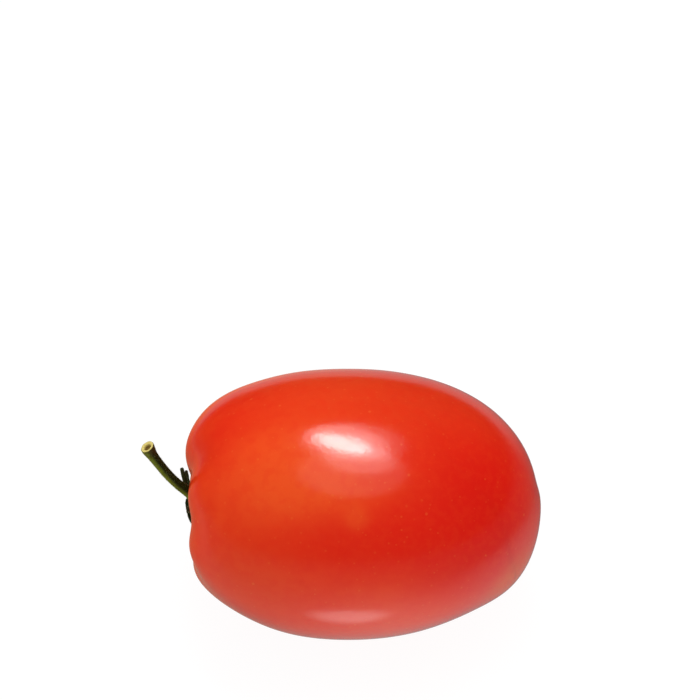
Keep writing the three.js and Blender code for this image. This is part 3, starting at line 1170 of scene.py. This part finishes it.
@dataclass(frozen=True)
class LeafFinish:
    """The dark, drying leaf of the calyx."""

    green: Colour = (0.010, 0.024, 0.006)
    pale: Colour = (0.030, 0.050, 0.010)
    dry: Colour = (0.030, 0.022, 0.006)

    def material(self) -> bpy.types.Material:
        """Builds the finish."""
        material, bench, shader = blank("drying sepal")
        place = bench.place()
        grain = bench.note(GRAIN, "Vector")
        age = bench.note(CUT, "Fac")
        lines = Grain().on(bench, Grain=grain, Lines=9.0, Along=150.0, Low=0.35, High=0.65)
        cloud = Mottle().on(bench, Place=place, Scale=0.9, Detail=3.0, Low=0.40, High=0.65)["Mask"]
        colour = bench.tint(bench.math("MULTIPLY", lines["Mask"], 0.7), self.green, self.pale)
        dry = bench.math("MULTIPLY", bench.math("ADD", bench.math("MULTIPLY", cloud, 0.6), 0.25), age)
        colour = bench.tint(dry, colour, self.dry)
        dots = Specks().on(bench, Place=place, Spacing=0.42, Size=0.07)["Mask"]
        colour = bench.tint(bench.math("MULTIPLY", dots, 0.35), colour, self.pale)
        bench.feed(shader.inputs["Base Color"], colour)
        rough = bench.math("ADD", bench.math("MULTIPLY", cloud, 0.15), 0.52)
        bench.feed(shader.inputs["Roughness"], rough)
        shader.inputs["Specular IOR Level"].default_value = 0.1
        height = bench.math("ADD", lines["Height"], bench.noise(place, 5.0, 3.0))
        bench.feed(shader.inputs["Normal"], bench.bump(height, 0.5, 0.00012))
        return material


@dataclass(frozen=True)
class StalkFinish:
    """The olive green stalk with its pale, sunk, broken end, and painted shade along one side."""

    green: Colour = (0.115, 0.155, 0.005)
    pale: Colour = (0.190, 0.235, 0.011)
    shade: Colour = (0.005, 0.009, 0.001)
    brown: Colour = (0.060, 0.040, 0.010)
    ring: Colour = (0.66, 0.54, 0.17)
    pith: Colour = (0.16, 0.095, 0.018)

    def material(self) -> bpy.types.Material:
        """Builds the finish."""
        material, bench, shader = blank("green stalk")
        place = bench.place()
        grain = bench.note(GRAIN, "Vector")
        cut = bench.note(CUT, "Fac")
        lines = Grain().on(bench, Grain=grain, Lines=7.0, Along=110.0, Low=0.36, High=0.64)
        cloud = Mottle().on(bench, Place=place, Scale=0.8, Detail=3.0, Low=0.42, High=0.66)["Mask"]
        colour = bench.tint(bench.math("MULTIPLY", lines["Mask"], 0.55), self.green, self.pale)
        colour = bench.tint(bench.math("MULTIPLY", cloud, 0.35), colour, self.shade)
        parts = bench.node("ShaderNodeSeparateXYZ")
        bench.feed(parts.inputs[0], grain)
        # Painted shade: the side of the stalk that faces the fruit is darkened nearly to black.
        inner = bench.range(parts.outputs["X"], 0.2, -0.6)
        colour = bench.tint(bench.math("MULTIPLY", inner, 0.93), colour, self.shade)
        near_end = bench.range(parts.outputs["Z"], 0.0145, 0.0178)
        brown = bench.math("MULTIPLY", near_end, bench.math("ADD", bench.math("MULTIPLY", cloud, 0.4), 0.3))
        colour = bench.tint(brown, colour, self.brown)
        colour = bench.tint(bench.range(cut, 0.2, 0.6), colour, self.ring)
        colour = bench.tint(bench.range(cut, 1.0, 1.25), colour, self.pith)
        bench.feed(shader.inputs["Base Color"], colour)
        rough = bench.math("ADD", bench.math("MULTIPLY", cloud, 0.12), 0.50)
        bench.feed(shader.inputs["Roughness"], rough)
        shader.inputs["Specular IOR Level"].default_value = 0.1
        height = bench.math("ADD", lines["Height"], bench.math("MULTIPLY", bench.noise(place, 4.0, 3.0), 0.6))
        bench.feed(shader.inputs["Normal"], bench.bump(height, 0.55, 0.00016))
        return material


@dataclass(frozen=True)
class HairFinish:
    """The pale, half clear hairs."""

    colour: Colour = (0.20, 0.23, 0.07)
    tip: Colour = (0.34, 0.36, 0.16)

    def material(self) -> bpy.types.Material:
        """Builds the finish."""
        material, bench, shader = blank("pale hair")
        cloud = Mottle().on(bench, Place=bench.place(), Scale=3.0, Detail=1.0, Low=0.3, High=0.7)["Mask"]
        bench.feed(shader.inputs["Base Color"], bench.tint(cloud, self.colour, self.tip))
        shader.inputs["Roughness"].default_value = 0.4
        return material


@dataclass(frozen=True)
class FloorFinish:
    """The plain pale floor, which glows a little so that its shadows stay faint.

    It glows more to rays that scatter off it, which lights the fruit from below.
    Seen only in the skin's reflections, it shows painted reflections: a soft pool of light and a
    brighter strip in front of the fruit, a faint glow far behind, a pale glow to the right, and
    to the left a reddish glow that is painted bounce light from the fruit.
    """

    colour: Colour = (0.07, 0.07, 0.07)
    shade: Colour = (0.065, 0.065, 0.065)
    seen_glow: float = 0.945
    fill_glow: float = 1.52
    pool_glow: float = 0.58
    pool_reach: float = 26.0
    pool: tuple[float, float, float] = (8.0, -35.0, 0.0)
    strip_glow: float = 1.0
    strip: tuple[float, float, float] = (-2.0, -39.0, 0.0)
    strip_stretch: tuple[float, float, float] = (0.56, 1.0, 1.0)
    back_glow: float = 0.26
    back: tuple[float, float, float] = (0.0, 260.0, 0.0)
    painted_bounce_glow: float = 0.48
    pale_glow: float = 0.24
    painted_bounce_side: tuple[float, float, float] = (-80.0, 50.0, 0.0)
    pale_side: tuple[float, float, float] = (56.0, -18.0, 0.0)
    painted_bounce_colour: Colour = (1.0, 0.30, 0.10)

    def material(self) -> bpy.types.Material:
        """Builds the finish."""
        material, bench, shader = blank("pale floor")
        place = bench.place()
        cloud = Mottle().on(bench, Place=place, Scale=0.02, Detail=2.0, Low=0.3, High=0.7)["Mask"]
        bench.feed(shader.inputs["Base Color"], bench.tint(cloud, self.colour, self.shade))
        shader.inputs["Roughness"].default_value = 0.8
        shader.inputs["Specular IOR Level"].default_value = 0.1
        ray = bench.node("ShaderNodeLightPath").outputs
        seen = bench.math("MULTIPLY", ray["Is Camera Ray"], self.seen_glow)
        fill = bench.math("MULTIPLY", ray["Is Diffuse Ray"], self.fill_glow)
        # Painted reflections, seen only in the skin: a pool and a strip of light in front of the fruit, a glow far
        # behind and a glow to each side.
        apart = bench.math("DIVIDE", bench.turn("DISTANCE", place, self.pool), self.pool_reach)
        pool = bench.math("DIVIDE", self.pool_glow, bench.math("ADD", bench.math("POWER", apart, 2.0), 1.0))
        strip = Patch().on(
            bench,
            Place=place,
            Centre=self.strip,
            Stretch=self.strip_stretch,
            Inner=3.0,
            Outer=8.5,
        )["Mask"]
        back = Patch().on(bench, Place=place, Centre=self.back, Inner=150.0, Outer=240.0)["Mask"]
        painted_bounce_side = Patch().on(bench, Place=place, Centre=self.painted_bounce_side, Inner=40.0, Outer=125.0)["Mask"]
        pale_side = Patch().on(bench, Place=place, Centre=self.pale_side, Inner=8.0, Outer=50.0)["Mask"]
        painted_bounce = bench.math("MULTIPLY", painted_bounce_side, self.painted_bounce_glow)
        sides = bench.math("ADD", painted_bounce, bench.math("MULTIPLY", pale_side, self.pale_glow))
        mirrored = bench.math("ADD", pool, bench.math("MULTIPLY", strip, self.strip_glow))
        mirrored = bench.math("ADD", mirrored, bench.math("MULTIPLY", back, self.back_glow))
        mirrored = bench.math("ADD", mirrored, sides)
        mirrored = bench.math("MULTIPLY", mirrored, ray["Is Glossy Ray"])
        glow = bench.math("ADD", bench.math("ADD", seen, fill), mirrored)
        bench.feed(shader.inputs["Emission Strength"], glow)
        # Painted bounce light: the glow to the left is tinted red, as light thrown back from the fruit.
        painted_bounce_colour = bench.math("MULTIPLY", painted_bounce_side, ray["Is Glossy Ray"])
        bench.feed(shader.inputs["Emission Color"], bench.tint(painted_bounce_colour, (1.0, 1.0, 1.0), self.painted_bounce_colour))
        return material


# The studio.


@dataclass(frozen=True)
class Softbox:
    """A soft oval light that shines at its aim. Lengths are in metres and glow is how bright its face is."""

    name: str
    place: tuple[float, float, float]
    aim: tuple[float, float, float]
    width: float
    depth: float
    glow: float
    roll: float = 0.0
    colour: Colour = (1.0, 1.0, 1.0)

    def hang(self) -> bpy.types.Object:
        """Hangs the light in the scene."""
        light = bpy.data.lights.new(self.name, "AREA")
        light.shape = "ELLIPSE"
        light.size, light.size_y = self.width, self.depth
        light.energy = self.glow * math.pi * (math.pi / 4 * self.width * self.depth)
        light.color = self.colour
        obj = bpy.data.objects.new(self.name, light)
        obj.location = self.place
        way = Vector(self.aim) - Vector(self.place)
        obj.rotation_euler = way.to_track_quat("-Z", "Y").to_euler()
        obj.rotation_euler.rotate_axis("Z", math.radians(self.roll))
        bpy.context.scene.collection.objects.link(obj)
        return obj


@dataclass
class Studio:
    """The floor, the lights and the camera."""

    azimuth: float = -2.0
    elevation: float = 45.0
    distance: float = 480.0
    lens: float = 127.87
    sensor: float = 36.0
    target: tuple[float, float, float] = (-0.101, 21.177, 46.395)
    floor_half: float = 1.6
    room_fill: float = 0.80
    room_gloss: float = 0.012
    room_seen: float = 0.95
    lights: tuple[Softbox, ...] = (
        Softbox("overhead", (-0.005, 0.095, 0.60), (0.0, 0.0, 0.03), 0.235, 0.105, 9.0, -56.0),
        Softbox("near_frame", (0.014, 0.115, 0.61), (0.0, 0.0, 0.03), 0.37, 0.23, 2.1, -52.0),
        Softbox("soft_frame", (0.036, 0.110, 0.62), (0.0, 0.0, 0.03), 0.42, 0.36, 0.6, -40.0),
        Softbox("near_tail", (0.060, -0.060, 0.60), (0.0, 0.0, 0.03), 0.23, 0.25, 1.15, 0.0),
        Softbox("far_tail", (0.030, -0.150, 0.58), (0.0, 0.0, 0.03), 0.40, 0.44, 0.42, 0.0),
    )

    def lay_floor(self) -> None:
        """Lays the floor under the part."""
        half = self.floor_half
        corners = [(-half, -half, 0), (half, -half, 0), (half, half, 0), (-half, half, 0)]
        mesh = bpy.data.meshes.new("floor")
        mesh.from_pydata(corners, [], [(0, 1, 2, 3)])
        mesh.materials.append(FloorFinish().material())
        floor = bpy.data.objects.new("floor", mesh)
        bpy.context.scene.collection.objects.link(floor)

    def light(self) -> None:
        """Hangs the lights and sets the dim light that fills the room."""
        for softbox in self.lights:
            softbox.hang()
        world = bpy.data.worlds.new("room")
        world.use_nodes = True
        bench = Bench(world.node_tree)
        ray = bench.node("ShaderNodeLightPath").outputs
        mirrored = bench.math("MULTIPLY", ray["Is Glossy Ray"], self.room_gloss)
        seen = bench.math("MULTIPLY", ray["Is Camera Ray"], self.room_seen)
        fill = bench.math("MULTIPLY", ray["Is Diffuse Ray"], self.room_fill)
        strength = bench.math("ADD", bench.math("ADD", mirrored, seen), fill)
        ground = world.node_tree.nodes["Background"]
        ground.inputs["Color"].default_value = (1.0, 1.0, 1.0, 1.0)
        bench.feed(ground.inputs["Strength"], strength)
        bpy.context.scene.world = world
        bpy.context.scene.view_settings.view_transform = "Standard"

    def place_camera(self) -> None:
        """Puts the camera where the part is seen from above its front."""
        a, e = math.radians(self.azimuth), math.radians(self.elevation)
        back = Vector((math.sin(a) * math.cos(e), -math.cos(a) * math.cos(e), math.sin(e)))
        camera = bpy.data.objects.new("camera", bpy.data.cameras.new("camera"))
        camera.data.lens = self.lens
        camera.data.sensor_width = self.sensor
        camera.data.clip_start, camera.data.clip_end = 0.01, 10
        camera.location = (Vector(self.target) + back * self.distance) * MM
        camera.rotation_mode = "QUATERNION"
        camera.rotation_quaternion = (-back).to_track_quat("-Z", "Y")
        bpy.context.scene.collection.objects.link(camera)
        bpy.context.scene.camera = camera


def tell(obj: bpy.types.Object) -> None:
    """Reports a finished piece."""
    size = [round(1000 * side, 2) for side in obj.dimensions]
    triangles = sum(len(face.vertices) - 2 for face in obj.data.polygons)
    log.info("%s: %s mm, %d triangles", obj.name, size, triangles)


def main() -> None:
    """Builds the part, its finishes and the studio."""
    logging.basicConfig(level=logging.INFO, format="%(message)s")
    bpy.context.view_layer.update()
    fruit = Fruit()
    stem = Stem()
    calyx = Calyx(floor=fruit.cavity_floor)
    for maker, obj in ((fruit, fruit.build()), (calyx, calyx.build(stem)), (stem, stem.build())):
        maker.dress(obj)
        tell(obj)
    stem_hairs = Hairs("tomato_stem_hairs", Slot.STALK)
    calyx_hairs = Hairs("tomato_calyx_hairs", Slot.SEPAL, longest=0.26, seed=23)
    for hairs, roots in ((stem_hairs, stem.hair_roots(1100, 5)), (calyx_hairs, calyx.hair_roots(900, 9))):
        obj = hairs.build(*roots)
        hairs.dress(obj)
        tell(obj)
    studio = Studio()
    studio.lay_floor()
    studio.light()
    studio.place_camera()
    bpy.context.view_layer.update()


if __name__ == "__main__":
    main()
